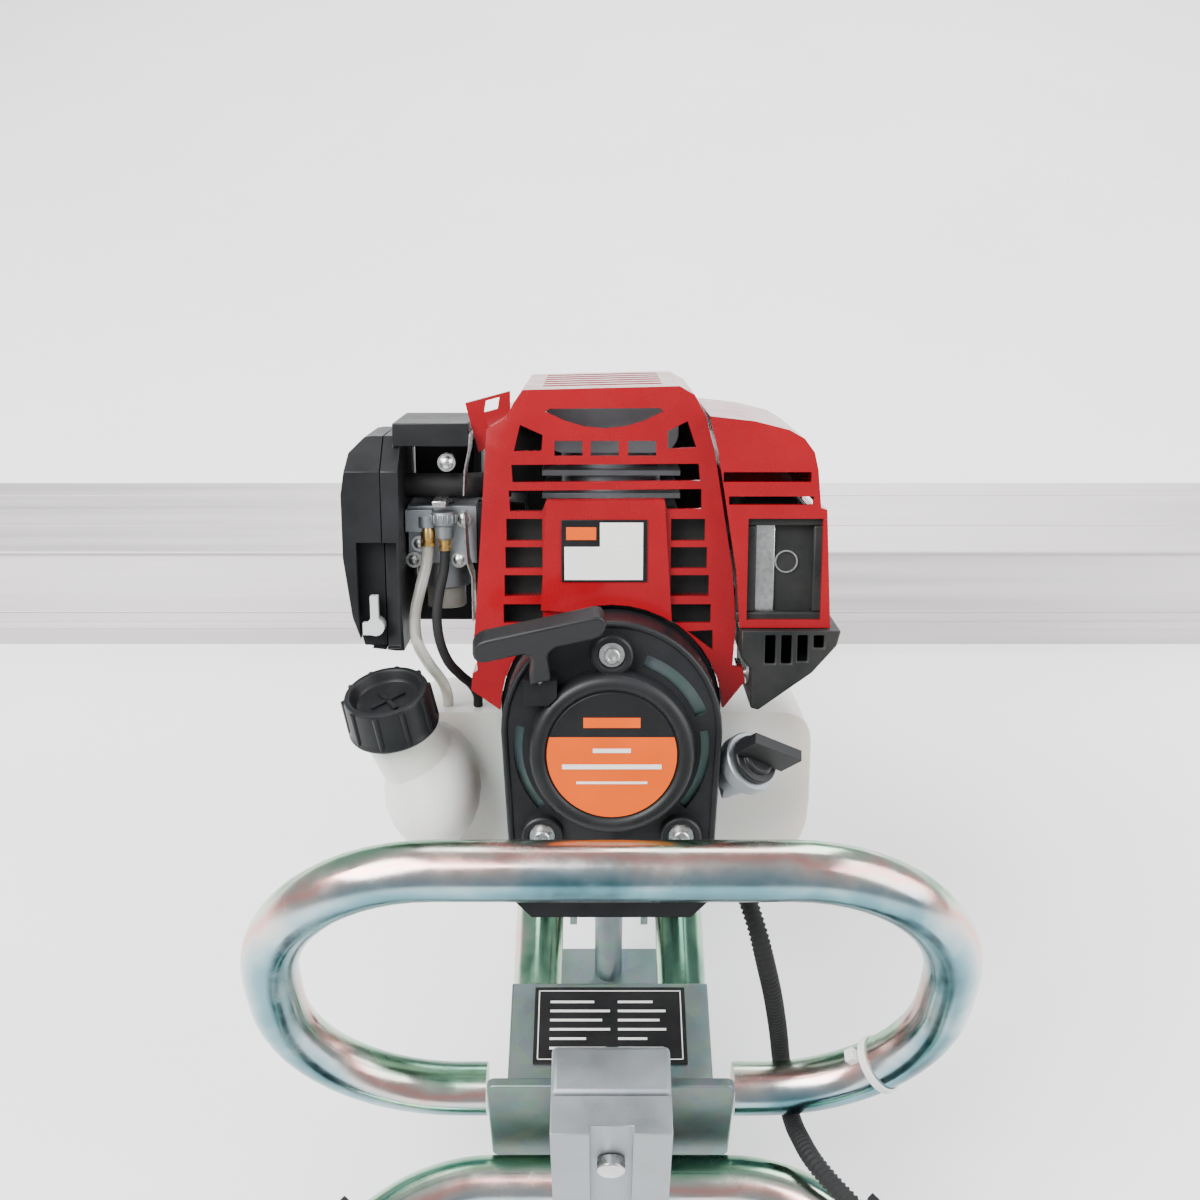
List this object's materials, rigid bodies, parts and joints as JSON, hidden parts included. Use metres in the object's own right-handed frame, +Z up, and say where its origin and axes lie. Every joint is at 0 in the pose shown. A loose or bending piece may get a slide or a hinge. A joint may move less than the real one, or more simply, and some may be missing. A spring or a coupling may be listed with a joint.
{
  "type": "power screed",
  "caption": "Vibrating concrete screed: a small petrol engine on a tubular frame shakes a long aluminium blade; tilting handlebar, carry loop and folding stand",
  "frame": {"origin": "middle of the blade's sole, on the face that rides on the concrete", "axes": "+X along the blade to the operator's right, +Y from the operator to the blade, +Z up"},
  "size_m": [1.5, 0.7165, 0.4124],
  "materials": {
    "blade_aluminium": "extruded aluminium with a fine lengthwise grain",
    "cast_aluminium": "sand-cast aluminium, matt",
    "zinc_tube": "bright zinc-plated tube with a faint coloured passivation",
    "galvanised_steel": "galvanised sheet steel",
    "red_cover": "glossy red moulded plastic",
    "black_plastic": "satin black moulded plastic",
    "black_steel": "heat-resistant black paint",
    "tank_plastic": "milky translucent blow-moulded plastic",
    "black_rubber": "black rubber",
    "bright_steel": "machined steel",
    "grey_plastic": "light grey moulded plastic",
    "white_plastic": "white nylon",
    "clear_hose": "clear yellowed fuel hose"
  },
  "bodies": {
    "machine": {"blade": "blade_aluminium", "drive_tube": "blade_aluminium", "exciter_housing": "cast_aluminium", "exciter_cover": "cast_aluminium", "clamp_front": "cast_aluminium", "clamp_rear": "cast_aluminium", "crankcase": "cast_aluminium", "cylinder": "cast_aluminium", "piston": "cast_aluminium", "clutch_housing": "cast_aluminium", "carburettor": "cast_aluminium", "oil_filler_neck": "cast_aluminium", "frame_tube_left": "zinc_tube", "frame_tube_right": "zinc_tube", "carry_loop_left": "zinc_tube", "carry_loop_right": "zinc_tube", "blade_bracket": "galvanised_steel", "rear_plate": "galvanised_steel", "stand_hanger": "galvanised_steel", "engine_saddle": "galvanised_steel", "top_cover": "red_cover", "muffler_cover": "red_cover", "starter_cover": "black_plastic", "fan_housing": "black_plastic", "air_cleaner_base": "black_plastic", "air_cleaner_cover": "black_plastic", "carburettor_insulator": "black_plastic", "muffler": "black_steel", "exhaust_deflector": "black_steel", "fuel_tank": "tank_plastic", "isolator_left": "black_rubber", "isolator_right": "black_rubber", "return_hose": "black_rubber", "throttle_conduit": "black_rubber", "exciter_bearing": "bright_steel", "flexible_core": "bright_steel", "clamp_screw": "bright_steel", "stand_pin": "bright_steel", "recoil_spring": "bright_steel", "fuel_hose": "clear_hose"},
    "handle": {"handlebar": "zinc_tube", "grip_left": "black_rubber", "grip_right": "black_rubber", "throttle_bracket": "black_plastic", "stop_switch_housing": "black_plastic"},
    "throttle_lever_body": {"throttle_lever": "black_plastic"},
    "stop_button": {"stop_switch_button": "red_cover"},
    "stand": {"stand_leg": "galvanised_steel"},
    "crank": {"crankshaft": "bright_steel", "flywheel": "cast_aluminium", "clutch_shoes": "black_steel"},
    "drum": {"clutch_drum": "bright_steel"},
    "eccentric": {"eccentric_weight": "bright_steel"},
    "reel": {"starter_reel": "white_plastic"},
    "pull_grip": {"starter_grip": "black_plastic"},
    "throttle_arm_body": {"throttle_arm": "bright_steel"},
    "choke": {"choke_lever": "grey_plastic"},
    "primer": {"primer_bulb": "clear_hose"},
    "tank_cap": {"fuel_cap": "black_plastic"},
    "oil_filler_cap": {"oil_cap": "black_plastic"}
  },
  "joints": [
    {"name": "handle_tilt", "type": "hinge", "parent": "machine", "child": "handle", "pos_m": [0, -0.513, 0.079], "axis": [1, 0, 0], "range_deg": [-60, 25], "deforming": ["throttle_conduit"]},
    {"name": "throttle_squeeze", "type": "hinge", "parent": "handle", "child": "throttle_lever_body", "pos_m": [0.12333, -0.54921, 0.103], "axis": [0.7431, 0.6691, 0], "range_deg": [0, 11], "stiffness_Nm_per_rad": 1, "springref_deg": -11.46},
    {"name": "stop_press", "type": "slide", "parent": "handle", "child": "stop_button", "axis": [0, 0, -1], "range_m": [0, 0.0024], "stiffness_N_per_m": 400, "springref_m": -0.001},
    {"name": "stand_fold", "type": "hinge", "parent": "machine", "child": "stand", "pos_m": [0, -0.345, 0.072], "axis": [1, 0, 0], "range_deg": [0, 80]},
    {"name": "crank_spin", "type": "hinge", "parent": "machine", "child": "crank", "pos_m": [0, -0.35265, 0.2525], "axis": [0, 0.866, -0.5], "continuous": true},
    {"name": "drum_spin", "type": "hinge", "parent": "machine", "child": "drum", "pos_m": [0, -0.30416, 0.2245], "axis": [0, 0.866, -0.5], "continuous": true},
    {"name": "eccentric_spin", "type": "hinge", "parent": "machine", "child": "eccentric", "pos_m": [0, 0.02, 0.098], "axis": [0, 1, 0], "continuous": true},
    {"name": "reel_spin", "type": "hinge", "parent": "machine", "child": "reel", "pos_m": [0, -0.42367, 0.2935], "axis": [0, 0.866, -0.5], "range_deg": [0, 930]},
    {"name": "starter_pull", "type": "slide", "parent": "machine", "child": "pull_grip", "axis": [0, 0.1736, 0.9848], "range_m": [0, 0.45]},
    {"name": "throttle_arm_turn", "type": "hinge", "parent": "machine", "child": "throttle_arm_body", "pos_m": [-0.0755, -0.32642, 0.34994], "axis": [0, 0.5, 0.866], "range_deg": [0, 45]},
    {"name": "choke_turn", "type": "hinge", "parent": "machine", "child": "choke", "pos_m": [-0.104, -0.37642, 0.31934], "axis": [0, 0.866, -0.5], "range_deg": [0, 32]},
    {"name": "primer_press", "type": "slide", "parent": "machine", "child": "primer", "axis": [0, 0.5, 0.866], "range_m": [0, 0.003], "stiffness_N_per_m": 300, "springref_m": -0.001},
    {"name": "fuel_cap_turn", "type": "hinge", "parent": "machine", "child": "tank_cap", "pos_m": [-0.095, -0.40904, 0.29083], "axis": [-0.1378, 0.172, 0.9754], "range_deg": [0, 120]},
    {"name": "oil_cap_turn", "type": "hinge", "parent": "machine", "child": "oil_filler_cap", "pos_m": [0.058, -0.42101, 0.27811], "axis": [0.5499, -0.2569, 0.7948], "range_deg": [0, 120]}
  ],
  "couplings": [
    {"joint": "drum_spin", "follows": "crank_spin", "ratio": 1},
    {"joint": "eccentric_spin", "follows": "crank_spin", "ratio": 1},
    {"joint": "starter_pull", "follows": "reel_spin", "m_per_rad": 0.0275},
    {"joint": "throttle_arm_turn", "follows": "throttle_squeeze", "ratio": 4}
  ]
}
